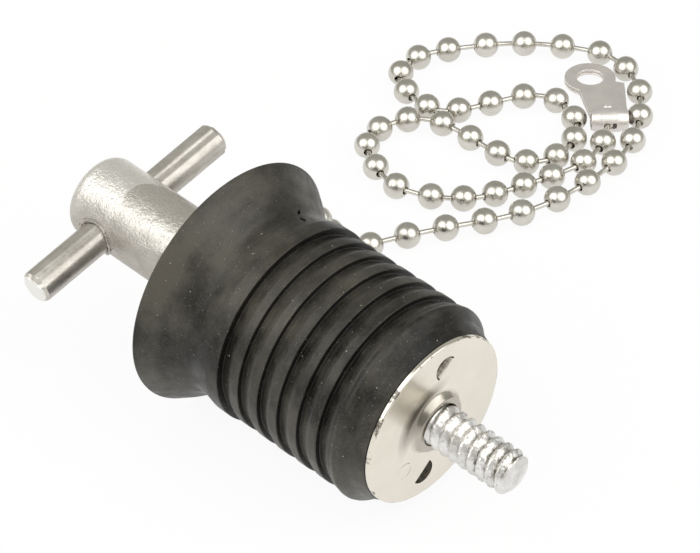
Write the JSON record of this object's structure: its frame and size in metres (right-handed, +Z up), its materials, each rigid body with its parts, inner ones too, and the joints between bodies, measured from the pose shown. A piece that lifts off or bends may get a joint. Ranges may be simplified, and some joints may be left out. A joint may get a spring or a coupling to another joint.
{
  "type": "drain plug for boat",
  "caption": "Expanding boat drain plug: T-handled screw, ribbed rubber bung with flange, round end plate and ball chain with eyelet.",
  "frame": {"origin": "on the floor, under the middle of the plug without its chain", "axes": "+Z up, +X along the plug from the T-handle to the end plate, +Y to the side where the chain lies"},
  "size_m": [0.0885, 0.1182, 0.0366],
  "materials": {
    "black_rubber": "moulded, matte",
    "handle_metal": "tumbled satin nickel",
    "spindle_metal": "bright rolled thread, worn",
    "plate_metal": "bright nickel plate",
    "chain_metal": "satin nickel plate"
  },
  "bodies": {
    "plug": {"rubber_bung": "black_rubber", "thrust_washer": "handle_metal", "chain_ring": "chain_metal", "chain_beads": "chain_metal", "chain_links": "chain_metal", "end_fitting": "chain_metal"},
    "handle": {"handle_hub": "handle_metal", "handle_crossbar": "handle_metal", "spindle": "spindle_metal"},
    "plate": {"end_plate": "plate_metal"}
  },
  "joints": [
    {"name": "handle_turn", "type": "hinge", "parent": "plug", "child": "handle", "pos_m": [-0.01304, 0, 0.01812], "axis": [0.9957, 0, -0.0929], "range_deg": [0, 1080]},
    {"name": "plate_slide", "type": "slide", "parent": "plug", "child": "plate", "axis": [-0.9957, 0, 0.0929], "range_m": [0, 0.0048], "deforming": ["rubber_bung"]}
  ],
  "couplings": [
    {"joint": "plate_slide", "follows": "handle_turn", "m_per_rad": 0.0002546}
  ]
}
